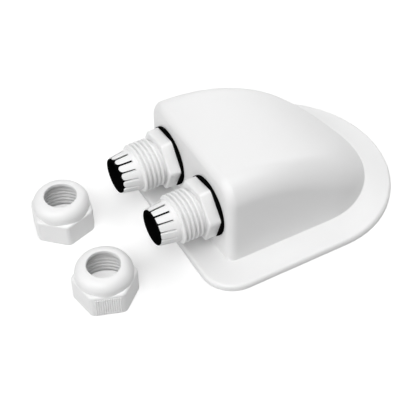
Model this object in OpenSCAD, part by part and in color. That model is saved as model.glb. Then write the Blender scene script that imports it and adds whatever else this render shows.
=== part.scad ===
// Roof cable entry box: a hollow D-shaped housing on a flange, with two cable glands in its front wall.
// The flange is glued to the roof over a drilled hole, and the cables enter through the glands.
// The dome nuts are off their glands and stand on the roof in front of them.
// Millimetres, +Z up. The origin lies on the underside of the flange, below the middle of the front wall.
// The glands point towards -Y, and the housing runs back towards +Y.

/* [Flange] */
// Width of the flange beside the housing
flange_side = 13.7; // [8:0.1:24]
// Width of the flange in front of the housing
flange_front = 12.8; // [6:0.1:24]
// Width of the flange behind the housing
flange_back = 11.3; // [6:0.1:24]
// Thickness of the flange
flange_t = 3; // [2:0.1:5]
// Radius of the flange's front corners
flange_corner_r = 14.5; // [6:0.5:24]
// Rounding along the flange's upper edge
flange_edge_r = 1.6; // [0.4:0.1:1.9]

/* [Housing] */
// Length of the housing from its front wall to its back
housing_l = 86.4; // [70:0.2:130]
// Height of the top at the very back
back_h = 6.6; // [6:0.2:16]
// Wall thickness
wall_t = 2.5; // [1.6:0.1:3.5]
// Rounding all round the front wall
front_edge_r = 4; // [2.5:0.1:6]
// Rounding between the top and the straight sides
side_edge_r = 10.5; // [8:0.5:18]
// Rounding between the top and the round back
back_edge_r = 15; // [8:0.5:20]
// How far the sides lean in on their way up
side_draft = 0.4; // [0:0.1:3]
// Room between a lock nut and the side wall
lock_side_room = 2; // [0.5:0.1:8]
// Room between a lock nut and the ceiling
lock_head_room = 4.4; // [3:0.1:12]

/* [Gland places] */
// Gap between the two sealing washers
washer_gap = 7.7; // [4:0.1:20]
// Gap between a sealing washer and the flange
washer_foot_gap = 5.8; // [3:0.1:12]
// Turn of the left gland on its axis
gland_turn_left = 7.5; // [0:0.5:60]
// Turn of the right gland on its axis
gland_turn_right = 11.5; // [0:0.5:60]

/* [Gland body] */
// Diameter of the threaded stem that passes through the wall
stem_d = 20.4; // [18:0.1:22]
// Length of the stem beyond its lock nut
stem_spare = 2; // [0.5:0.1:6]
// Width of the hex collar across its flats
collar_af = 24; // [23:0.1:27]
// Length of the hex collar
collar_l = 5.3; // [3:0.1:9]
// Diameter of the thread that takes the dome nut
cap_thread_d = 22; // [20.5:0.1:23]
// Length of that thread
cap_thread_l = 10.6; // [6:0.1:16]
// Pitch of that thread
cap_thread_pitch = 2; // [1.5:0.1:2.5]
// Depth of that thread
cap_thread_depth = 1.1; // [0.4:0.1:1.2]
// Length of the cone from the thread to the claws
shoulder_l = 1.8; // [1:0.1:5]
// Length of the claws
claw_l = 7.1; // [4:0.1:9]
// Diameter over the claws at their roots
claw_root_d = 18.6; // [17.5:0.1:19]
// Diameter over the claws at their tips
claw_tip_d = 16.4; // [15.5:0.1:18]
// Thickness of a claw at its root
claw_t = 1.2; // [0.8:0.1:1.5]
// Thickness of a claw at its tip
claw_tip_t = 0.6; // [0.4:0.1:0.8]
// Number of claws
claw_count = 14; // [8:1:16]
// Width of the slots between the claws
claw_slot_w = 0.75; // [0.5:0.05:1.4]
// Slant of the slots from the straight way through a claw
claw_slant = 30; // [0:1:45]
// Turn of the first slot from a corner of the hex collar
claw_turn = 11.5; // [0:0.5:60]
// Rounding of the left gland's claw tips
claw_tip_r_left = 1.1; // [0.2:0.1:1.1]
// Rounding of the right gland's claw tips
claw_tip_r_right = 0.3; // [0.2:0.1:1.1]
// Diameter of the cable way through the body
cable_way_d = 13.5; // [12:0.1:14]

/* [Washers, lock nuts and seals] */
// Diameter of a sealing washer
washer_d = 27; // [25:0.1:32]
// Thickness of a sealing washer
washer_t = 1.4; // [0.8:0.1:3]
// Width of a lock nut across its flats
lock_af = 26; // [24.5:0.1:30]
// Thickness of a lock nut
lock_t = 5; // [3:0.1:8]
// Depth of the seal's seat below the claws
seal_seat_l = 5; // [3:0.1:8]
// Diameter of the hole for the cable in a seal
seal_bore_d = 11.5; // [8:0.1:12]
// Thickness of the seal's rim over the claw tips
seal_rim_t = 0.6; // [0.3:0.1:1.5]
// Step from the claw tips in to the seal's rim
seal_rim_step = 0.4; // [0.1:0.05:0.5]

/* [Dome nuts] */
// Wall of a dome nut between its thread and its flats
nut_wall = 1.1; // [0.8:0.1:4]
// Height of the hex part
nut_hex_h = 11; // [7:0.1:14]
// Height of the dome above the hex part
nut_dome_h = 6.6; // [5.5:0.1:12]
// Rounding of the dome
nut_dome_r = 4.5; // [3:0.1:5]
// Drop of the hex part's shoulders towards the corners
nut_shoulder = 0.8; // [0.2:0.1:2]
// Chamfer around the hex part's foot
nut_foot_chamfer = 0.6; // [0.2:0.1:1]
// Diameter of the mouth
nut_mouth_d = 14; // [11:0.1:15]
// Length of the mouth's straight wall
nut_lip_t = 1.4; // [0.6:0.1:3]
// Gap between the left gland's end and the corners of its nut
nut_gap_left = 9.4; // [2:0.1:60]
// Gap between the right gland's end and the corners of its nut
nut_gap_right = 9.9; // [2:0.1:60]
// Sideways place of the left nut from its gland's axis
nut_shift_left = -5.5; // [-12:0.1:4]
// Sideways place of the right nut from its gland's axis
nut_shift_right = 4; // [-4:0.1:12]
// Turn of the left nut on the roof
nut_turn_left = 47.5; // [0:0.5:60]
// Turn of the right nut on the roof
nut_turn_right = 10.8; // [0:0.1:60]

/* [Clearances] */
// Radial clearance of a stem in the wall
hole_clearance = 0.3; // [0.1:0.05:0.6]
// Radial clearance of washers, lock nuts and dome nuts on their threads
thread_clearance = 0.2; // [0.05:0.05:0.4]
// Radial clearance of a seal inside the claws
seal_clearance = 0.1; // [0.05:0.05:0.3]

/* [Hidden] */
$fn = 96;

// Gland axes, and the housing built round the lock nuts
gland_x = (washer_d + washer_gap) / 2;
gland_z = flange_t + washer_foot_gap + washer_d / 2;
half_w = gland_x + lock_af / 2 + lock_side_room + wall_t + side_draft;
front_h = gland_z + hex_r(lock_af) + lock_head_room + wall_t;
// The straight sides end where the round back begins
back_centre = housing_l - half_w;

// Stations along a gland, outwards from the wall's outer face
collar_start = washer_t;
collar_end = collar_start + collar_l;
thread_end = collar_end + cap_thread_l;
claw_start = thread_end + shoulder_l;
claw_end = claw_start + claw_l;
gland_reach = claw_end + seal_rim_t;
seat_start = claw_start - seal_seat_l;
stem_end = -(wall_t + lock_t + stem_spare);

// Radii of a gland and its dome nut
stem_r = stem_d / 2;
crest_r = cap_thread_d / 2;
root_r = crest_r - cap_thread_depth;
seat_r = claw_root_d / 2 - claw_t;
claw_tip_inner_r = claw_tip_d / 2 - claw_tip_t;
nut_bore_r = crest_r + thread_clearance;
nut_af = 2 * (nut_bore_r + nut_wall);
nut_h = nut_hex_h + nut_dome_h;

// Steps round half of the housing's outline, and round its edges
front_steps = 4;
corner_steps = 8;
side_steps = 10;
back_steps = 28;
edge_steps = 9;
inner_edge_steps = 6;
flange_edge_steps = 4;
outline_last = front_steps + corner_steps + side_steps + back_steps;
outline_count = 2 * outline_last;
// Tightest rounding inside the housing, and the share of a low wall that its rounding may take
inner_r_min = 0.8;
edge_share_max = 0.9;
// Shares of the housing's length between which its side rounding widens
widen_start = 0.33;
widen_end = 0.83;
// Chamfer at the free end of a stem, and angles of the corner chamfers on a collar and on a lock nut
stem_chamfer = 0.8;
collar_chamfer_angle = 22;
lock_chamfer_angle = 30;
// Steps round a claw's tip, and the angle where its rounding ends in a small flat
tip_steps = 5;
tip_sweep = 75;
// Height of the slots' floors over the ring that the claws grow from
slot_rise = 0.4;
// Shares of the thread pitch taken by a crest's top and by its foot
crest_top_share = 0.3;
crest_foot_share = 0.8;
// Overrun of a cut past the faces that it opens
cut = 1;

function hex_r(af) = af / 2 / cos(30);
function smooth_step(t) = let (s = min(1, max(0, t))) s * s * (3 - 2 * s);

// Height of the housing's top, falling as a parabola from the front edge to the back
function top_z(y) =
    let (t = max(0, y - front_edge_r) / (housing_l - front_edge_r))
    front_h - (front_h - back_h) * t * t;

// Right half of a D-shaped outline, from the middle of its front to the middle of its round back
function half_outline(half, front, back, r) = concat(
    [for (i = [0:front_steps - 1]) [(half - r) * i / front_steps, front]],
    [for (i = [0:corner_steps - 1]) let (a = 90 * i / corner_steps)
        [half - r + r * sin(a), front + r - r * cos(a)]],
    [for (i = [0:side_steps - 1]) [half, front + r + (back_centre - front - r) * i / side_steps]],
    [for (i = [0:back_steps]) let (a = 90 * i / back_steps)
        [half * cos(a), back_centre + (back - back_centre) * sin(a)]]
);

// Whole ring of points from its right half
function ring(half) = concat(
    half, [for (i = [outline_last - 1:-1:1]) [-half[i].x, half[i].y, half[i].z]]);
function level_ring(half_points, z) = ring([for (p = half_points) [p.x, p.y, z]]);

// Rounding round the front wall, and along the upper side edges at y, of the skin an offset inside
function front_r(offset) = max(inner_r_min, front_edge_r - offset);
function side_r(y, offset) =
    let (widening = smooth_step((y / housing_l - widen_start) / (widen_end - widen_start)))
    max(inner_r_min, side_edge_r + (back_edge_r - side_edge_r) * widening - offset);

// Point on the rounding round the front wall: b turns from the front face at 0 to the side or top at 90,
// a rises from the side at 0 to the top at 90, and the share draws the point in to the middle
function front_edge_point(a, b, offset, share = 1) =
    let (
        front = front_r(offset),
        side = side_r(0, offset),
        reach = side - front + front * sin(b),
        x = half_w - side_draft - offset - side + reach * cos(a),
        y = offset + front * (1 - cos(b))
    )
    [share * x, y, top_z(y) - offset - side + reach * sin(a)];

// Point on the upper edge at angle a, over point p of the side or back wall with the outward normal n
function side_edge_point(a, p, n, offset, base) =
    let (
        r = side_r(p.y, offset),
        q = p - n * r * (1 - cos(a)),
        z = top_z(q.y) - offset
    )
    [q.x, q.y, z - min(r, edge_share_max * (z - base)) * (1 - sin(a))];

// Ring on the housing's rounded edge at angle a, from the wall's top at 0 to the top face at 90.
// The offset is 0 on the outside and the wall thickness on the inside, and the base is the wall's foot.
function edge_ring(a, offset, base) =
    let (half = half_w - side_draft - offset, front = offset + front_r(offset))
    ring(concat(
        [for (i = [0:front_steps - 1]) front_edge_point(a, 0, offset, i / front_steps)],
        [for (i = [0:corner_steps - 1]) front_edge_point(a, 90 * i / corner_steps, offset)],
        [for (i = [0:side_steps - 1]) let (y = front + (back_centre - front) * i / side_steps)
            side_edge_point(a, [half, y], [1, 0], offset, base)],
        [for (i = [0:back_steps]) let (n = [cos(90 * i / back_steps), sin(90 * i / back_steps)])
            side_edge_point(a, [0, back_centre] + half * n, n, offset, base)]));

// Outline of the flange, drawn in from its outer edge
function flange_outline(inset) = half_outline(
    half_w + flange_side - inset, inset - flange_front, housing_l + flange_back - inset,
    flange_corner_r - inset);
// Outline of the housing's foot, outside or inside its wall
function foot_outline(offset) = half_outline(
    half_w - offset, offset, housing_l - offset, front_r(offset));

// The housing's skin: down the outside from the top face, under the flange, and up the inside
housing_rings = concat(
    [for (k = [edge_steps:-1:0]) edge_ring(90 * k / edge_steps, 0, flange_t)],
    [level_ring(foot_outline(0), flange_t)],
    [for (k = [flange_edge_steps:-1:0]) let (a = 90 * k / flange_edge_steps)
        level_ring(flange_outline(flange_edge_r * (1 - cos(a))), flange_t - flange_edge_r * (1 - sin(a)))],
    [level_ring(flange_outline(0), 0)],
    [level_ring(foot_outline(wall_t), 0)],
    [for (k = [0:inner_edge_steps]) edge_ring(90 * k / inner_edge_steps, wall_t, 0)]
);

// Triangles of one band between two rings of the skin
function band(k) = [for (i = [0:outline_count - 1])
    let (a = k * outline_count + i, b = k * outline_count + (i + 1) % outline_count)
    each [[a, b, b + outline_count], [a, b + outline_count, a + outline_count]]];

// Strips that close a ring from side to side, seen from above
function cap(k) =
    let (base = k * outline_count, left = function(i) base + (outline_count - i) % outline_count)
    concat(
        [concat(
            [for (i = [front_steps + 1:-1:0]) base + i], [for (i = [1:front_steps + 1]) left(i)])],
        [for (i = [front_steps + 1:outline_last - 2]) [base + i, left(i), left(i + 1), base + i + 1]],
        [[base + outline_last - 1, left(outline_last - 1), base + outline_last]]);

function reversed(list) = [for (i = [len(list) - 1:-1:0]) list[i]];

module housing_shell() {
    last = len(housing_rings) - 1;
    polyhedron(
        points = [for (r = housing_rings) each r],
        faces = concat(
            cap(0),
            [for (k = [0:last - 1]) each band(k)],
            [for (face = cap(last)) reversed(face)]),
        convexity = 6);
}

module housing() {
    color("white") difference() {
        housing_shell();
        for (side = [-1, 1])
            at_gland(side) translate([0, 0, -wall_t - cut])
                cylinder(r = stem_r + hole_clearance, h = wall_t + 2 * cut);
    }
}

// Frame of one gland: its axis points out of the front wall, and local Y is up
module at_gland(side) {
    translate([side * gland_x, 0, gland_z]) rotate([90, 0, 0]) children();
}

// Hex prism whose corners are chamfered by a cone at its far end, and at its near end too if both is true
module chamfered_hex(af, l, angle, both = false) {
    drop = (hex_r(af) - af / 2) * tan(angle);
    near = both ? drop : 0;
    intersection() {
        cylinder(r = hex_r(af), h = l, $fn = 6);
        rotate_extrude() polygon([
            [0, 0], [both ? af / 2 : hex_r(af), 0], [hex_r(af), near],
            [hex_r(af), l - drop], [af / 2, l], [0, l]]);
    }
}

// Half section of one thread ridge that starts at height z
function thread_ridge(z) =
    let (
        flank = cap_thread_pitch * (crest_foot_share - crest_top_share) / 2,
        top = cap_thread_pitch * crest_top_share
    )
    [[root_r, z], [crest_r, z + flank], [crest_r, z + flank + top], [root_r, z + 2 * flank + top]];

// Half section of a gland body's outside, from the stem's end to the claw tips
function gland_profile() =
    let (
        ridges = floor((cap_thread_l - cap_thread_pitch * (1 - crest_foot_share)) / cap_thread_pitch),
        first = thread_end - ridges * cap_thread_pitch + cap_thread_pitch * (1 - crest_foot_share)
    )
    concat(
        [[0, stem_end], [stem_r - stem_chamfer, stem_end], [stem_r, stem_end + stem_chamfer]],
        [[stem_r, collar_end], [root_r, collar_end]],
        [for (k = [0:ridges - 1]) each thread_ridge(first + k * cap_thread_pitch)],
        [[claw_root_d / 2, claw_start], [claw_tip_d / 2, claw_end], [0, claw_end]]);

// Gap between two claws, drawn flat: across the slot and up from the claws' root ring, with rounded tips
function claw_gap(tip_r) =
    let (
        side = concat(
            [[claw_slot_w / 2, slot_rise]],
            [for (i = [0:tip_steps]) let (a = tip_sweep * i / tip_steps)
                [claw_slot_w / 2 + tip_r * (1 - cos(a)), claw_l - tip_r * (1 - sin(a))]],
            [[claw_slot_w / 2 + tip_r, claw_l + cut]])
    )
    concat(side, [for (p = reversed(side)) [-p.x, p.y]]);

module gland_body(side, tip_r, turn) {
    slot_r = (claw_root_d / 2 + claw_tip_inner_r) / 2;
    slot_reach = (claw_root_d / 2 - slot_r) / cos(claw_slant) + cut;
    color("whitesmoke") at_gland(side) rotate([0, 0, turn]) difference() {
        union() {
            rotate_extrude() polygon(gland_profile());
            translate([0, 0, collar_start]) chamfered_hex(collar_af, collar_l, collar_chamfer_angle);
        }
        translate([0, 0, stem_end - cut]) cylinder(d = cable_way_d, h = claw_end - stem_end + 2 * cut);
        rotate_extrude() polygon(seal_profile(0));
        for (i = [0:claw_count - 1]) rotate([0, 0, claw_turn + i * 360 / claw_count])
            translate([slot_r, 0, claw_start]) rotate([0, 0, -claw_slant]) rotate([90, 0, 90])
                translate([0, 0, -slot_reach]) linear_extrude(2 * slot_reach) polygon(claw_gap(tip_r));
    }
}

// Half section of the seal's seat inside the claws, or of the seal itself with its clearance
function seal_profile(clearance) = [
    [0, seat_start], [seat_r - clearance, seat_start], [seat_r - clearance, claw_start],
    [claw_tip_inner_r - clearance, claw_end], [0, claw_end]];

module seal_bush(side) {
    color("dimgray") at_gland(side) difference() {
        union() {
            rotate_extrude() polygon(seal_profile(seal_clearance));
            translate([0, 0, claw_end]) cylinder(r = claw_tip_d / 2 - seal_rim_step, h = seal_rim_t);
        }
        translate([0, 0, seat_start - cut])
            cylinder(d = seal_bore_d, h = gland_reach - seat_start + 2 * cut);
    }
}

module sealing_washer(side) {
    color("black") at_gland(side) difference() {
        cylinder(d = washer_d, h = washer_t);
        translate([0, 0, -cut]) cylinder(r = stem_r + thread_clearance, h = washer_t + 2 * cut);
    }
}

module lock_nut(side) {
    color("gainsboro") at_gland(side) translate([0, 0, -wall_t - lock_t]) rotate([0, 0, 30]) difference() {
        chamfered_hex(lock_af, lock_t, lock_chamfer_angle, both = true);
        translate([0, 0, -cut]) cylinder(r = stem_r + thread_clearance, h = lock_t + 2 * cut);
    }
}

// Outside of a dome nut: a hex part with sloping shoulders, and a round dome that springs from its flats
module dome_nut_outside() {
    flat_r = nut_af / 2;
    corner_r = hex_r(nut_af);
    intersection() {
        cylinder(r = corner_r, h = nut_hex_h, $fn = 6);
        rotate_extrude() polygon([
            [0, 0], [corner_r - nut_foot_chamfer, 0], [corner_r, nut_foot_chamfer],
            [corner_r, nut_hex_h - nut_shoulder], [flat_r, nut_hex_h], [0, nut_hex_h]]);
    }
    rotate_extrude() {
        square([flat_r - nut_dome_r, nut_h]);
        translate([0, nut_hex_h - nut_shoulder]) square([flat_r, nut_dome_h + nut_shoulder - nut_dome_r]);
        translate([flat_r - nut_dome_r, nut_h - nut_dome_r]) intersection() {
            circle(nut_dome_r);
            square(nut_dome_r);
        }
    }
}

module dome_nut(side, shift, gap, turn) {
    mouth_r = nut_mouth_d / 2;
    color("whitesmoke")
        translate([side * gland_x + shift, -(gland_reach + gap + hex_r(nut_af)), 0]) rotate([0, 0, turn])
            difference() {
                dome_nut_outside();
                rotate_extrude() polygon([
                    [0, -cut], [nut_bore_r, -cut], [nut_bore_r, nut_hex_h],
                    [mouth_r, nut_h - nut_lip_t], [mouth_r, nut_h + cut], [0, nut_h + cut]]);
            }
}

module gland_body_left() { gland_body(-1, claw_tip_r_left, gland_turn_left); }
module gland_body_right() { gland_body(1, claw_tip_r_right, gland_turn_right); }
module sealing_washer_left() { sealing_washer(-1); }
module sealing_washer_right() { sealing_washer(1); }
module lock_nut_left() { lock_nut(-1); }
module lock_nut_right() { lock_nut(1); }
module seal_bush_left() { seal_bush(-1); }
module seal_bush_right() { seal_bush(1); }
module dome_nut_left() { dome_nut(-1, nut_shift_left, nut_gap_left, nut_turn_left); }
module dome_nut_right() { dome_nut(1, nut_shift_right, nut_gap_right, nut_turn_right); }

housing();
gland_body_left();
gland_body_right();
sealing_washer_left();
sealing_washer_right();
lock_nut_left();
lock_nut_right();
seal_bush_left();
seal_bush_right();
dome_nut_left();
dome_nut_right();
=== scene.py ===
"""Looks of a roof cable entry box: a white moulded housing, two cable glands and their loose dome nuts."""

import math
from contextlib import contextmanager

import bmesh
import bpy
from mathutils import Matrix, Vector


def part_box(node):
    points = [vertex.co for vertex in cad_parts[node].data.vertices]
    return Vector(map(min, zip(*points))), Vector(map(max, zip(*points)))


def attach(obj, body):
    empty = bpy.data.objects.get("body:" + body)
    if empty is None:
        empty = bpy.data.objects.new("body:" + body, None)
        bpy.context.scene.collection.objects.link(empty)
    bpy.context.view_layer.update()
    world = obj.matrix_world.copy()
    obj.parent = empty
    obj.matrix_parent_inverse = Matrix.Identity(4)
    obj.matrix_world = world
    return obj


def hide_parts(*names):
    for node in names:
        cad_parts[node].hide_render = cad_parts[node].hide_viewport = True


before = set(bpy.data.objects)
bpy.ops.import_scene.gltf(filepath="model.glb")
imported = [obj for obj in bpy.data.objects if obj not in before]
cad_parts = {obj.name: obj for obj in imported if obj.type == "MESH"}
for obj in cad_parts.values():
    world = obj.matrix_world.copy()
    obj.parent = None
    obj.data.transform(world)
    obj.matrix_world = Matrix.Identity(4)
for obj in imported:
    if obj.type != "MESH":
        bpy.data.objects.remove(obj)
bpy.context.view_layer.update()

MM = 0.001
FULL_TURN = 2 * math.pi
HEX_HALF_SIDE = math.radians(30)

# The turn that lays an upright axis to the front
FACING_FRONT = (math.radians(90), 0, 0)

# How finely round stretches are meshed
ROUND_STEPS = 96
EDGE_STEPS = 4
HEX_CORNER_STEPS = 6
HEX_RIM_STEPS = 5
HEX_FOOT_STEPS = 3

# How near points merge or count as level, how far a drill overshoots, and which share of Z is upright
WELD = 0.002 * MM
NEAR = 0.01 * MM
OVERCUT = 1 * MM
UPRIGHT = 0.9

# The angles from which an edge is softened, and from which it stays sharp in the shading
CREASE_ANGLE = math.radians(40)
SMOOTH_ANGLE = math.radians(35)

# The soft edges of the housing
HOUSING_EDGE_R = 0.35 * MM
HOUSING_EDGE_STEPS = 3
HOUSING_SMOOTH_ANGLE = math.radians(50)

# The ridge of every thread, in shares of its pitch and of its own height, and how its ends fade
THREAD_FOOT = 0.84
THREAD_TOP = 0.42
THREAD_ROUND = 0.18
THREAD_ROUND_STEPS = 4
THREAD_SUNK = 0.25
THREAD_TURN_STEPS = 48
THREAD_RUNOUT_STEPS = 10
THREAD_END = 0.05

# The hex collar, the threads and the claws of a gland, along its axis from the front wall outwards
GLAND_TURN = {"left": math.radians(7.5), "right": math.radians(11.5)}
STEM_ROOT_R = 9.5 * MM
STEM_CREST_R = 10.2 * MM
STEM_PITCH = 1.5 * MM
STEM_CHAMFER = 0.8 * MM
CABLE_WAY_R = 6.75 * MM
CORE_STEP_L = 1 * MM
COLLAR_AF = 23.6 * MM
COLLAR_CORNER_R = 2 * MM
COLLAR_RIM_R = 0.8 * MM
COLLAR_BORE_R = 7.75 * MM
COLLAR_L = 5.3 * MM
CAP_THREAD_ROOT_R = 9.4 * MM
CAP_THREAD_CREST_R = 11 * MM
CAP_THREAD_PITCH = 2 * MM
CAP_THREAD_L = 10.6 * MM
CAP_THREAD_GAP = 0.2 * MM
CAP_THREAD_RUN_ON = 1.2 * MM
CAP_THREAD_TURN = math.radians(-150)
SHOULDER_L = 1.8 * MM
SHOULDER_EASE_L = 0.4 * MM
SHOULDER_GROOVE = 0.1 * MM
SHOULDER_BEAD = 0.15 * MM
CLAW_COUNT = 14
CLAW_STEPS = 16
CLAW_L = 7.1 * MM
CLAW_ROOT_R = 9.3 * MM
CLAW_TIP_R = 8.2 * MM
CLAW_LEAN = (CLAW_ROOT_R - CLAW_TIP_R) / CLAW_L
CLAW_T = 1.2 * MM
CLAW_TIP_T = 0.6 * MM
CLAW_TIP_ROUND = {"left": 1.3 * MM, "right": 0.3 * MM}
CLAW_EDGE_R = 0.12 * MM
CLAW_EDGE_STEPS = 2
CLAW_SLOT_W = 0.75 * MM
CLAW_SLANT = math.radians(30)
CLAW_TURN = math.radians(11.5)
CLAW_SUNK_L = 0.3 * MM
CLAW_RING_L = 0.4 * MM
CLAW_RING_R = CLAW_ROOT_R - CLAW_LEAN * CLAW_RING_L

# The rubber seals inside the claws, whose round rim starts at an angle in degrees
SEAL_SEAT_L = 5 * MM
SEAL_BORE_R = 5.75 * MM
SEAL_CLEARANCE = 0.1 * MM
SEAL_RIM_STEP = 0.4 * MM
SEAL_RIM_TUCK = 0.1 * MM
SEAL_RIM_START = -60
SEAL_RIM_STEPS = 6
SEAL_MOUTH_W = 0.9 * MM
SEAL_MOUTH_L = 1.2 * MM
SEAL_THROAT_W = 0.4 * MM
SEAL_LIP_L = 0.2 * MM

# The sealing washers between the collars and the front wall
WASHER_EDGE_R = 0.2 * MM
WASHER_CLEARANCE = 0.2 * MM

# The lock nuts inside the housing
LOCK_AF = 26 * MM
LOCK_BORE_R = 10.4 * MM
LOCK_CORNER_R = 1.2 * MM
LOCK_RIM_R = 0.6 * MM

# The dome nuts that stand in front
NUT_TURN = {"left": math.radians(47.5), "right": math.radians(10.8)}
NUT_AF = 24.6 * MM
NUT_CORNER_R = 2.6 * MM
NUT_HEX_H = 11.4 * MM
NUT_SHOULDER_R = 1.1 * MM
NUT_FOOT_R = 0.25 * MM
NUT_DOME_R = 4.6 * MM
NUT_DOME_INSET = 0.12 * MM
NUT_DOME_STEPS = 14
NUT_LIP_R = 0.5 * MM
NUT_MOUTH_R = 7 * MM
NUT_MOUTH_L = 1.6 * MM
NUT_BORE_R = 11.2 * MM
NUT_BORE_CHAMFER = 0.3 * MM
NUT_LINER_T = 0.6 * MM
NUT_LINER_SUNK = 0.15 * MM
NUT_LINER_LIFT = 0.05 * MM
NUT_THREAD_H = 0.65 * MM
NUT_THREAD_LIFT = 0.3 * MM
NUT_THREAD_RUN_ON = 0.6 * MM

# The grip ribs on two opposite faces of each dome nut
RIBBED_FACE = {"left": math.radians(77.5), "right": math.radians(340.8)}
RIB_COUNT = 12
RIB_PITCH = 0.92 * MM
RIB_R = 0.32 * MM
RIB_SIDES = 10
RIB_LIFT = 0.9 * MM
RIB_TOP_GAP = 0.7 * MM
RIB_H = NUT_HEX_H - NUT_SHOULDER_R - RIB_LIFT - RIB_TOP_GAP


def select_only(*pieces):
    bpy.ops.object.select_all(action="DESELECT")
    for piece in pieces:
        piece.select_set(True)
    bpy.context.view_layer.objects.active = pieces[0]


@contextmanager
def editing(piece):
    """Edit mode on one piece, with nothing selected at the start."""
    select_only(piece)
    bpy.ops.object.mode_set(mode="EDIT")
    bpy.ops.mesh.select_all(action="DESELECT")
    yield
    bpy.ops.object.mode_set(mode="OBJECT")


def pick(piece, kind, test):
    """Selects the vertices, edges or faces whose middle and direction pass a test, and nothing else."""
    bpy.ops.mesh.select_mode(type=kind)
    bpy.ops.mesh.select_all(action="DESELECT")
    form = bmesh.from_edit_mesh(piece.data)
    if kind == "VERT":
        chosen = [v for v in form.verts if test(v.co, v.normal)]
    elif kind == "EDGE":
        chosen = [
            e for e in form.edges
            if test((e.verts[0].co + e.verts[1].co) / 2, (e.verts[1].co - e.verts[0].co).normalized())
        ]
    else:
        chosen = [f for f in form.faces if test(f.calc_center_median(), f.normal)]
    for element in chosen:
        element.select_set(True)
    form.select_flush_mode()
    bmesh.update_edit_mesh(piece.data)


def pick_numbered(piece, first, end):
    """Selects the vertices from one number up to, but without, another, and nothing else."""
    bpy.ops.mesh.select_mode(type="VERT")
    bpy.ops.mesh.select_all(action="DESELECT")
    form = bmesh.from_edit_mesh(piece.data)
    form.verts.ensure_lookup_table()
    for number in range(first, end):
        form.verts[number].select_set(True)
    bmesh.update_edit_mesh(piece.data)


def apply_modifier(piece, kind, **settings):
    select_only(piece)
    modifier = piece.modifiers.new(kind.lower(), kind)
    for name, value in settings.items():
        setattr(modifier, name, value)
    bpy.ops.object.modifier_apply(modifier=modifier.name)


def soften_edges(piece, width, segments):
    apply_modifier(
        piece, "BEVEL", width=width, segments=segments, limit_method="ANGLE", angle_limit=CREASE_ANGLE,
        use_clamp_overlap=True)


def clean_skin(piece):
    """Merges doubled points and points every face outwards."""
    with editing(piece):
        bpy.ops.mesh.select_all(action="SELECT")
        bpy.ops.mesh.remove_doubles(threshold=WELD)
        bpy.ops.mesh.normals_make_consistent(inside=False)


def joined(name, pieces):
    select_only(*pieces)
    bpy.ops.object.join()
    piece = bpy.context.object
    piece.name = name
    return piece


def copied(piece, turn=0):
    """A copy with its own mesh, turned about the upright axis."""
    select_only(piece)
    bpy.ops.object.duplicate()
    copy = bpy.context.object
    copy.rotation_euler.z = turn
    bpy.ops.object.transform_apply(location=True, rotation=True, scale=True)
    return copy


def arc(centre, radius, start, end, steps):
    """Points of a half section along an arc, with its angles in degrees from outwards towards up."""
    points = []
    for step in range(steps + 1):
        angle = math.radians(start + (end - start) * step / steps)
        points.append((centre[0] + radius * math.cos(angle), centre[1] + radius * math.sin(angle)))
    return points


def section(name, corners, fill="NOTHING"):
    """A half section in the XZ plane: a small ring whose points are moved out to its corners one by one."""
    bpy.ops.mesh.primitive_circle_add(vertices=len(corners), radius=MM, fill_type=fill, location=(0, 0, 0))
    piece = bpy.context.object
    piece.name = name
    starts = [v.co.copy() for v in piece.data.vertices]
    with editing(piece):
        for number, (r, z) in enumerate(corners):
            pick_numbered(piece, number, number + 1)
            bpy.ops.transform.translate(value=Vector((r, 0, z)) - starts[number])
    return piece


def spun(name, corners):
    """A turned ring: its half section spun once round the upright axis."""
    piece = section(name, corners)
    with editing(piece):
        bpy.ops.mesh.select_all(action="SELECT")
        bpy.ops.mesh.spin(steps=ROUND_STEPS, angle=FULL_TURN, center=(0, 0, 0), axis=(0, 0, 1))
    clean_skin(piece)
    return piece


def bar(name, radius, bottom, top, sides, turn=0):
    """An upright bar on the Z axis between two heights, with flat ends."""
    bpy.ops.mesh.primitive_cylinder_add(
        vertices=sides, radius=radius, depth=top - bottom, location=(0, 0, (top + bottom) / 2),
        rotation=(0, 0, turn))
    piece = bpy.context.object
    piece.name = name
    bpy.ops.object.transform_apply(location=True, rotation=True, scale=True)
    return piece


def hex_prism(name, af, bottom, top, corner_r, rim_r, foot_r=0, turn=0):
    """A hex bar with rounded corners, upper rim and lower rim. At turn 0 one corner points along X."""
    piece = bar(name, af / math.sqrt(3), bottom, top, sides=6, turn=HEX_HALF_SIDE + turn)
    with editing(piece):
        pick(piece, "EDGE", lambda middle, along: abs(along.z) > UPRIGHT)
        bpy.ops.mesh.bevel(
            offset=corner_r * math.tan(HEX_HALF_SIDE), segments=HEX_CORNER_STEPS, affect="EDGES",
            clamp_overlap=True)
        pick(piece, "EDGE", lambda middle, along: middle.z > top - NEAR)
        bpy.ops.mesh.bevel(offset=rim_r, segments=HEX_RIM_STEPS, affect="EDGES", clamp_overlap=True)
        if foot_r:
            pick(piece, "EDGE", lambda middle, along: middle.z < bottom + NEAR)
            bpy.ops.mesh.bevel(offset=foot_r, segments=HEX_FOOT_STEPS, affect="EDGES", clamp_overlap=True)
    return piece


def bore_out(piece, bore_r, bottom, top):
    """Drills a round hole along the upright axis through a piece that lies between two heights."""
    drill = bar("drill", bore_r, bottom - OVERCUT, top + OVERCUT, ROUND_STEPS)
    apply_modifier(piece, "BOOLEAN", operation="DIFFERENCE", solver="EXACT", object=drill)
    bpy.data.objects.remove(drill)
    clean_skin(piece)


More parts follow.
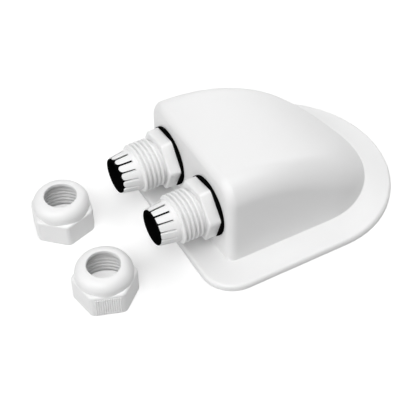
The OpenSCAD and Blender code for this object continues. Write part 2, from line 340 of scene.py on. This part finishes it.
def thread(name, root_r, crest_r, bottom, top, pitch):
    """A helical ridge between two heights that rises from its root and sinks back into it."""
    sunk_r = root_r + THREAD_SUNK * (root_r - crest_r)
    foot_w, crest_w = THREAD_FOOT * pitch, THREAD_TOP * pitch
    crest_bottom = bottom + (foot_w - crest_w) / 2
    ridge = section(name, [
        (sunk_r, bottom), (crest_r, crest_bottom), (crest_r, crest_bottom + crest_w),
        (sunk_r, bottom + foot_w)])
    with editing(ridge):
        pick(ridge, "VERT", lambda place, _: abs(place.x - crest_r) < NEAR)
        bpy.ops.mesh.bevel(offset=THREAD_ROUND * pitch, segments=THREAD_ROUND_STEPS, affect="VERTICES")
    ring = len(ridge.data.vertices)
    turns = (top - bottom - foot_w) / pitch
    steps = round(THREAD_TURN_STEPS * turns)
    apply_modifier(
        ridge, "SCREW", axis="Z", angle=FULL_TURN * turns, screw_offset=pitch * turns, iterations=1,
        steps=steps, render_steps=steps, use_smooth_shade=True)
    places = [v.co.copy() for v in ridge.data.vertices]
    last_ring = len(places) // ring - 1
    with editing(ridge):
        for step in range(THREAD_RUNOUT_STEPS):
            height = max(THREAD_END, step / THREAD_RUNOUT_STEPS)
            for number in (step, last_ring - step):
                first, end = number * ring, (number + 1) * ring
                foot = min(places[first:end], key=lambda place: abs(place.xy.length - sunk_r))
                pick_numbered(ridge, first, end)
                bpy.ops.transform.resize(value=(height, height, 1), center_override=foot)
        bpy.ops.mesh.select_all(action="SELECT")
        bpy.ops.mesh.fill_holes(sides=0)
    clean_skin(ridge)
    return ridge


def stand(piece, place, turn=(0, 0, 0)):
    """Turns and moves a finished piece to its place, and puts that into its mesh."""
    select_only(piece)
    piece.rotation_euler = turn
    piece.location = place
    bpy.ops.object.transform_apply(location=True, rotation=True, scale=True)


def on_axis(low, high, y=0):
    """A place on the line that runs from front to back through the middle of a box."""
    return ((low.x + high.x) / 2, y, (low.z + high.z) / 2)


def shade(piece, angle=SMOOTH_ANGLE):
    """Smooth shading over soft edges, with flat faces kept flat."""
    select_only(piece)
    bpy.ops.object.shade_smooth_by_angle(angle=angle)
    apply_modifier(piece, "WEIGHTED_NORMAL", keep_sharp=True)


def hand_over(piece, node, finish):
    """A finished piece takes its node's place and its finish."""
    piece.data.materials.clear()
    piece.data.materials.append(finish)
    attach(piece, "root")
    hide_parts(node)


class Wire:
    """A value socket in a finish. Sums on it add Math nodes."""

    def __init__(self, finish, socket):
        self.finish = finish
        self.socket = socket

    def sum(self, operation, first, second):
        return self.finish.add("ShaderNodeMath", {"operation": operation}, {0: first, 1: second})

    def __add__(self, other):
        return self.sum("ADD", self, other)

    def __radd__(self, other):
        return self.sum("ADD", other, self)

    def __mul__(self, other):
        return self.sum("MULTIPLY", self, other)


class Finish:
    """A procedural material that is built node by node."""

    def __init__(self, name):
        self.material = bpy.data.materials.new(name)
        self.material.use_nodes = True
        self.tree = self.material.node_tree
        self.shader = self.tree.nodes["Principled BSDF"]

    def add(self, kind, settings=None, sockets=None, output=0):
        """One node: its settings first, then the values or wires of its sockets."""
        node = self.tree.nodes.new(kind)
        for name, value in (settings or {}).items():
            setattr(node, name, value)
        for name, value in (sockets or {}).items():
            self.plug(node.inputs[name], value)
        return Wire(self, node.outputs[output])

    def plug(self, socket, value):
        if isinstance(value, Wire):
            self.tree.links.new(value.socket, socket)
        else:
            socket.default_value = value

    def set(self, **sockets):
        """Fills sockets of the shader, named as Blender names them, but in small letters."""
        for name, value in sockets.items():
            self.plug(self.shader.inputs[name.replace("_", " ").title().replace("Ior", "IOR")], value)

    def object_place(self):
        return self.add("ShaderNodeTexCoord", output="Object")

    def distance(self):
        """How far a point lies from the object's origin, in metres."""
        return self.add(
            "ShaderNodeVectorMath", {"operation": "LENGTH"}, {0: self.object_place()}, output="Value")

    def noise(self, size, detail=2, roughness=0.5):
        """Cloudy noise from 0 to 1 whose patches are about that size."""
        return self.add("ShaderNodeTexNoise", sockets={
            "Vector": self.object_place(), "Scale": 1 / size, "Detail": detail, "Roughness": roughness})

    def between(self, share, first, second):
        """A colour between two others."""
        return self.add(
            "ShaderNodeMix", {"data_type": "RGBA"}, {"Factor": share, 6: first, 7: second}, output=2)

    def bump(self, height, strength, distance):
        return self.add("ShaderNodeBump", sockets={
            "Height": height, "Strength": strength, "Distance": distance})


def grey(value):
    return (value, value, value, 1)


# The white plastic
CLOUD_SIZE = 18 * MM
CLOUD_DETAIL = 3
CLOUD_SHARE = 0.7
CLOUD_ROUGHNESS = 0.06
SPECK_SIZE = 0.5 * MM
SPECK_ROUGHNESS = 0.05
GRAIN_DEPTH = 0.02 * MM


def moulded_white(name, light, dark, smoothest, grain):
    """White moulded plastic with a faint cloudiness, a fine spark-eroded grain and an uneven satin gloss."""
    finish = Finish(name)
    clouds = finish.noise(CLOUD_SIZE, CLOUD_DETAIL)
    specks = finish.noise(SPECK_SIZE)
    shade_share = clouds * CLOUD_SHARE + specks * (1 - CLOUD_SHARE)
    finish.set(
        base_color=finish.between(shade_share, grey(dark), grey(light)),
        roughness=smoothest + clouds * CLOUD_ROUGHNESS + specks * SPECK_ROUGHNESS,
        normal=finish.bump(specks, grain, GRAIN_DEPTH))
    return finish.material


# The black rubber
RUBBER_DARK = 0.0015
RUBBER_DUSTY = 0.004
RUBBER_ROUGHNESS = 0.6
RUBBER_GRAIN = 0.25
RUBBER_GRAIN_SIZE = 0.25 * MM
DUST_SIZE = 2.5 * MM
DUST_DETAIL = 4
DUST_COARSENESS = 0.6
DUST_ROUGHNESS = 0.15


def black_rubber(name):
    """Black moulded rubber: a dull, slightly dusty surface with a fine grain."""
    finish = Finish(name)
    dust = finish.noise(DUST_SIZE, DUST_DETAIL, DUST_COARSENESS)
    grain = finish.noise(RUBBER_GRAIN_SIZE)
    finish.set(
        base_color=finish.between(dust, grey(RUBBER_DARK), grey(RUBBER_DUSTY)),
        roughness=RUBBER_ROUGHNESS + dust * DUST_ROUGHNESS,
        specular_ior_level=0,
        normal=finish.bump(grain, RUBBER_GRAIN, GRAIN_DEPTH))
    return finish.material


housing_white = moulded_white("housing_white", light=0.875, dark=0.855, smoothest=0.35, grain=0.12)
gland_white = moulded_white("gland_white", light=0.89, dark=0.87, smoothest=0.37, grain=0.15)
seal_black = black_rubber("seal_black")


def model_housing():
    """The moulded shell, on a copy of the CAD skin with its creases softened."""
    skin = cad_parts["housing"]
    piece = bpy.data.objects.new("housing_shell", skin.data.copy())
    bpy.context.collection.objects.link(piece)
    with editing(piece):
        bpy.ops.mesh.select_all(action="SELECT")
        bpy.ops.mesh.remove_doubles(threshold=WELD)
    soften_edges(piece, HOUSING_EDGE_R, HOUSING_EDGE_STEPS)
    shade(piece, HOUSING_SMOOTH_ANGLE)
    hand_over(piece, "housing", housing_white)


def turn_of(place):
    """A point's angle round the upright axis, rounded so that points in line share it."""
    return round(math.atan2(place.y, place.x), 4)


def radius_of(place):
    """A point's distance from the upright axis in mm, rounded so that points in a ring share it."""
    return round(place.xy.length / MM, 2)


def model_claw(tip_round, bottom):
    """One claw: a tapered plate, spun through its share of the ring and drawn back to a round tip."""
    top = bottom + CLAW_L - CLAW_RING_L
    foot, foot_r = bottom - CLAW_SUNK_L, CLAW_RING_R + CLAW_LEAN * CLAW_SUNK_L
    middle_r = (CLAW_ROOT_R + CLAW_TIP_R - CLAW_TIP_T) / 2
    sweep = FULL_TURN / CLAW_COUNT - CLAW_SLOT_W / math.cos(CLAW_SLANT) / middle_r
    claw = section("claw", [
        (foot_r - CLAW_T, foot), (foot_r, foot), (CLAW_TIP_R, top), (CLAW_TIP_R - CLAW_TIP_T, top)],
        fill="NGON")
    with editing(claw):
        bpy.ops.mesh.select_all(action="SELECT")
        bpy.ops.mesh.spin(steps=CLAW_STEPS, angle=sweep, center=(0, 0, 0), axis=(0, 0, 1))
        bpy.ops.mesh.select_all(action="SELECT")
        bpy.ops.mesh.normals_make_consistent(inside=False)
    turns = sorted({turn_of(v.co) for v in claw.data.vertices})
    middle = (turns[0] + turns[-1]) / 2
    tip_r = CLAW_TIP_R - CLAW_TIP_T / 2
    flat_half = max(0, sweep * tip_r / 2 - tip_round)
    with editing(claw):
        for turn in turns:
            off = max(0, abs(turn - middle) * tip_r - flat_half)
            drop = tip_round - math.sqrt(max(0, tip_round ** 2 - off ** 2))
            pick(claw, "VERT", lambda place, _: abs(place.z - top) < NEAR and turn_of(place) == turn)
            slide = Vector((CLAW_LEAN * math.cos(turn), CLAW_LEAN * math.sin(turn), -1))
            bpy.ops.transform.translate(value=slide * drop)
    slant(claw, middle_r)
    soften_edges(claw, CLAW_EDGE_R, CLAW_EDGE_STEPS)
    stand(claw, (0, 0, 0), (0, 0, -middle))
    return claw


def slant(claw, middle_r):
    """Twists a claw's points round the gland's axis by their distance from it, so that its sides slant."""
    radii = sorted({radius_of(v.co) for v in claw.data.vertices})
    with editing(claw):
        for radius in radii:
            pick(claw, "VERT", lambda place, _: radius_of(place) == radius)
            back_turn = math.tan(CLAW_SLANT) * (radius * MM - middle_r) / (radius * MM)
            # With no window this operator turns clockwise
            bpy.ops.transform.rotate(value=back_turn, orient_axis="Z", center_override=(0, 0, 0))


def model_gland(side):
    """A gland body: bored core with a hex collar, two helical threads and a crown of claws."""
    stem_end = -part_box(f"gland_body_{side}")[1].y
    washer_low, washer_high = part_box(f"sealing_washer_{side}")
    collar_start = -washer_low.y
    collar_end = collar_start + COLLAR_L
    thread_end = collar_end + CAP_THREAD_L
    claw_start = thread_end + SHOULDER_L
    slot_floor = claw_start + CLAW_RING_L
    seat_floor = claw_start - SEAL_SEAT_L
    seat_r = CLAW_ROOT_R - CLAW_T
    core = spun("gland_core", [
        (CABLE_WAY_R, stem_end), (STEM_ROOT_R - STEM_CHAMFER, stem_end),
        (STEM_ROOT_R, stem_end + STEM_CHAMFER), (STEM_ROOT_R, collar_start + CORE_STEP_L),
        (CAP_THREAD_ROOT_R, collar_start + 2 * CORE_STEP_L), (CAP_THREAD_ROOT_R, thread_end),
        (CAP_THREAD_ROOT_R - SHOULDER_GROOVE, thread_end + SHOULDER_EASE_L),
        (CLAW_ROOT_R + SHOULDER_BEAD, claw_start - SHOULDER_EASE_L), (CLAW_ROOT_R, claw_start),
        (CLAW_RING_R, slot_floor), (seat_r, slot_floor), (seat_r, seat_floor), (CABLE_WAY_R, seat_floor)])
    collar = hex_prism("gland_collar", COLLAR_AF, collar_start, collar_end, COLLAR_CORNER_R, COLLAR_RIM_R)
    bore_out(collar, COLLAR_BORE_R, collar_start, collar_end)
    cap_thread = thread(
        "cap_thread", CAP_THREAD_ROOT_R, CAP_THREAD_CREST_R, collar_end + CAP_THREAD_GAP,
        thread_end + CAP_THREAD_RUN_ON, CAP_THREAD_PITCH)
    stand(cap_thread, (0, 0, 0), (0, 0, CAP_THREAD_TURN))
    stem_thread = thread(
        "stem_thread", STEM_ROOT_R, STEM_CREST_R, stem_end + STEM_CHAMFER / 2, collar_start, STEM_PITCH)
    claw = model_claw(CLAW_TIP_ROUND[side], slot_floor)
    step = FULL_TURN / CLAW_COUNT
    claws = [copied(claw, CLAW_TURN + (number + 0.5) * step) for number in range(CLAW_COUNT)]
    bpy.data.objects.remove(claw)
    piece = joined(f"gland_{side}", [core, collar, cap_thread, stem_thread, *claws])
    stand(piece, (0, 0, 0), (0, 0, GLAND_TURN[side]))
    stand(piece, on_axis(washer_low, washer_high), FACING_FRONT)
    shade(piece)
    hand_over(piece, f"gland_body_{side}", gland_white)


def model_washer(side):
    """A flat rubber washer with rounded edges."""
    low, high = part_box(f"sealing_washer_{side}")
    thickness = high.y - low.y
    bore_r = STEM_CREST_R + WASHER_CLEARANCE
    edge_r = (high.x - low.x) / 2 - WASHER_EDGE_R
    piece = spun(f"washer_{side}", [
        (bore_r, 0),
        *arc((edge_r, WASHER_EDGE_R), WASHER_EDGE_R, -90, 0, EDGE_STEPS),
        *arc((edge_r, thickness - WASHER_EDGE_R), WASHER_EDGE_R, 0, 90, EDGE_STEPS),
        (bore_r, thickness)])
    stand(piece, on_axis(low, high), FACING_FRONT)
    shade(piece)
    hand_over(piece, f"sealing_washer_{side}", seal_black)


def model_lock_nut(side):
    """A hex lock nut with rounded edges and a bore that clears the stem's thread."""
    low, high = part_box(f"lock_nut_{side}")
    thickness = high.y - low.y
    piece = hex_prism(
        f"lock_ring_{side}", LOCK_AF, 0, thickness, LOCK_CORNER_R, LOCK_RIM_R, LOCK_RIM_R, HEX_HALF_SIDE)
    bore_out(piece, LOCK_BORE_R, 0, thickness)
    stand(piece, on_axis(low, high, high.y), FACING_FRONT)
    shade(piece)
    hand_over(piece, f"lock_nut_{side}", gland_white)


def model_seal(side):
    """A rubber seal: a plug inside the claws with a rim over their tips and a mouth that narrows."""
    low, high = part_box(f"seal_bush_{side}")
    foot, reach = -high.y, -low.y
    claw_end = -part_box(f"gland_body_{side}")[0].y
    claw_start = claw_end - CLAW_L
    plug_r = CLAW_ROOT_R - CLAW_T - SEAL_CLEARANCE
    neck_r = CLAW_TIP_R - CLAW_TIP_T - SEAL_CLEARANCE
    rim_r = CLAW_TIP_R - SEAL_RIM_STEP
    round_r = (reach - claw_end) / 2
    piece = spun(f"seal_{side}", [
        (SEAL_BORE_R, foot), (plug_r, foot), (plug_r, claw_start), (neck_r, claw_end),
        (rim_r - SEAL_RIM_TUCK, claw_end),
        *arc((rim_r - round_r, claw_end + round_r), round_r, SEAL_RIM_START, 90, SEAL_RIM_STEPS),
        (SEAL_BORE_R + SEAL_MOUTH_W, reach), (SEAL_BORE_R + SEAL_THROAT_W, reach - SEAL_LIP_L),
        (SEAL_BORE_R, reach - SEAL_MOUTH_L)])
    stand(piece, on_axis(low, high), FACING_FRONT)
    shade(piece)
    hand_over(piece, f"seal_bush_{side}", seal_black)


def model_rib():
    """One grip rib: a thin upright bar with tapered ends."""
    rib = bar("rib", RIB_R, -RIB_H / 2, RIB_H / 2, RIB_SIDES)
    with editing(rib):
        pick(rib, "FACE", lambda place, normal: abs(normal.z) > UPRIGHT)
        bpy.ops.mesh.inset(thickness=RIB_R / 2)
        pick(rib, "FACE", lambda place, normal: abs(normal.z) > UPRIGHT and place.xy.length < NEAR)
        bpy.ops.transform.resize(value=(1, 1, 1 + RIB_R / RIB_H), center_override=(0, 0, 0))
    return rib


def model_dome_nut(side):
    """A dome nut: hex skirt with rounded shoulders, round dome, threaded bore and two ribbed grip faces."""
    low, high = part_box(f"dome_nut_{side}")
    height = high.z - low.z
    flat_r = NUT_AF / 2
    dome_r = flat_r - NUT_DOME_INSET
    liner_r = NUT_BORE_R + NUT_LINER_T
    skirt = hex_prism(
        "nut_skirt", NUT_AF, 0, NUT_HEX_H, NUT_CORNER_R, NUT_SHOULDER_R, NUT_FOOT_R, NUT_TURN[side])
    bore_out(skirt, liner_r - NUT_LINER_SUNK, 0, NUT_HEX_H)
    # The dome's foot and its liner lie hidden in the skirt
    dome = spun("nut_dome", [
        (NUT_BORE_R + NUT_BORE_CHAMFER, NUT_LINER_LIFT), (liner_r, NUT_LINER_LIFT),
        (liner_r, NUT_HEX_H - 2 * NUT_SHOULDER_R), (dome_r, NUT_HEX_H - 1.5 * NUT_SHOULDER_R),
        *arc((dome_r - NUT_DOME_R, height - NUT_DOME_R), NUT_DOME_R, 0, 90, NUT_DOME_STEPS),
        *arc((NUT_MOUTH_R + NUT_LIP_R, height - NUT_LIP_R), NUT_LIP_R, 90, 180, EDGE_STEPS),
        (NUT_MOUTH_R, height - NUT_MOUTH_L), (NUT_BORE_R, NUT_HEX_H),
        (NUT_BORE_R, NUT_LINER_LIFT + NUT_BORE_CHAMFER)])
    ridge = thread(
        "nut_thread", NUT_BORE_R, NUT_BORE_R - NUT_THREAD_H, NUT_THREAD_LIFT, NUT_HEX_H + NUT_THREAD_RUN_ON,
        CAP_THREAD_PITCH)
    parts = [skirt, dome, ridge]
    rib = model_rib()
    for face in (RIBBED_FACE[side], RIBBED_FACE[side] + math.pi):
        for number in range(RIB_COUNT):
            along = (number - (RIB_COUNT - 1) / 2) * RIB_PITCH
            copy = copied(rib)
            stand(copy, (flat_r, along, RIB_LIFT + RIB_H / 2))
            stand(copy, (0, 0, 0), (0, 0, face))
            parts.append(copy)
    bpy.data.objects.remove(rib)
    piece = joined(f"loose_nut_{side}", parts)
    stand(piece, ((low.x + high.x) / 2, (low.y + high.y) / 2, low.z))
    shade(piece)
    hand_over(piece, f"dome_nut_{side}", gland_white)


model_housing()
for side in ("left", "right"):
    model_gland(side)
    model_washer(side)
    model_lock_nut(side)
    model_seal(side)
    model_dome_nut(side)


# The camera stands where the photograph was taken from, with its angles in degrees
VIEW_TARGET = Vector((0.266, 9.389, 0)) * MM
VIEW_AZIMUTH = 60.708
VIEW_ELEVATION = 46.353
VIEW_DISTANCE = 472.83 * MM
VIEW_LENS = 91.53

# The soft boxes round the object, each with its azimuth and elevation in degrees and its power in watts
SOFT_BOXES = {
    "key_box": (46, 54, 8.8),
    "rear_box": (170, 68, 5.2),
    "front_box": (0, 25, 4.8),
    "edge_box": (225, 25, 3.8),
}
SOFT_BOX_DISTANCE = 1.2
SOFT_BOX_SIZE = 0.8

# The floor is one grey where it lights the object and another where it is seen, and there it has a painted
# glow that grows away from the object
FLOOR_SIZE = 6
FLOOR_DROP = 0.02 * MM
FLOOR_LIT_GREY = 0.54
FLOOR_SEEN_GREY = 0.65
FLOOR_ROUGHNESS = 0.9
FLOOR_PAINTED_GLOW = 0.4


def outwards(azimuth, elevation):
    """A direction at angles in degrees: azimuth 0 lies before the glands, and 90 to their right."""
    a, e = math.radians(azimuth), math.radians(elevation)
    return Vector((math.sin(a) * math.cos(e), -math.cos(a) * math.cos(e), math.sin(e)))


def aimed(name, data, target, away):
    """A camera or a lamp that stands away from its target and looks at it."""
    thing = bpy.data.objects.new(name, data)
    bpy.context.collection.objects.link(thing)
    thing.location = target + away
    thing.rotation_euler = (-away).to_track_quat("-Z", "Y").to_euler()
    return thing


def set_camera():
    camera = aimed(
        "camera", bpy.data.cameras.new("camera"), VIEW_TARGET,
        outwards(VIEW_AZIMUTH, VIEW_ELEVATION) * VIEW_DISTANCE)
    camera.data.lens = VIEW_LENS
    bpy.context.scene.camera = camera


def seen_rays(tree):
    """1 where a thing is seen, also in a reflection or through glass, and 0 where it lights the object."""
    path = tree.nodes.new("ShaderNodeLightPath")
    share = path.outputs["Is Camera Ray"]
    for name in ("Is Glossy Ray", "Is Transmission Ray"):
        either = tree.nodes.new("ShaderNodeMath")
        either.operation = "MAXIMUM"
        tree.links.new(share, either.inputs[0])
        tree.links.new(path.outputs[name], either.inputs[1])
        share = either.outputs[0]
    return share


def set_floor():
    """A floor that keeps the object's shadow and turns white further away, where it glows more."""
    bpy.ops.mesh.primitive_plane_add(size=FLOOR_SIZE, location=(0, 0, -FLOOR_DROP))
    floor = bpy.context.object
    floor.name = "floor"
    paper = Finish("studio_paper")
    seen = Wire(paper, seen_rays(paper.tree))
    paper.set(
        base_color=paper.between(seen, grey(FLOOR_LIT_GREY), grey(FLOOR_SEEN_GREY)),
        roughness=FLOOR_ROUGHNESS,
        specular_ior_level=0,
        emission_color=grey(1),
        # Painted glow: seen by the camera, the floor glows less near the object and more further off, which
        # paints it a little darker round the object
        emission_strength=seen * (FLOOR_PAINTED_GLOW + paper.distance()))
    floor.data.materials.append(paper.material)


def set_lamps():
    """Soft boxes round the object, in a dark room whose walls look white."""
    for name, (azimuth, elevation, power) in SOFT_BOXES.items():
        lamp = aimed(
            name, bpy.data.lights.new(name, "AREA"), Vector((0, 0, 0)),
            outwards(azimuth, elevation) * SOFT_BOX_DISTANCE)
        lamp.data.size = SOFT_BOX_SIZE
        lamp.data.energy = power
    world = bpy.data.worlds.new("studio")
    bpy.context.scene.world = world
    world.use_nodes = True
    walls = world.node_tree.nodes["Background"]
    walls.inputs["Color"].default_value = grey(1)
    world.node_tree.links.new(seen_rays(world.node_tree), walls.inputs["Strength"])


set_camera()
set_floor()
set_lamps()
bpy.context.scene.view_settings.view_transform = "Standard"
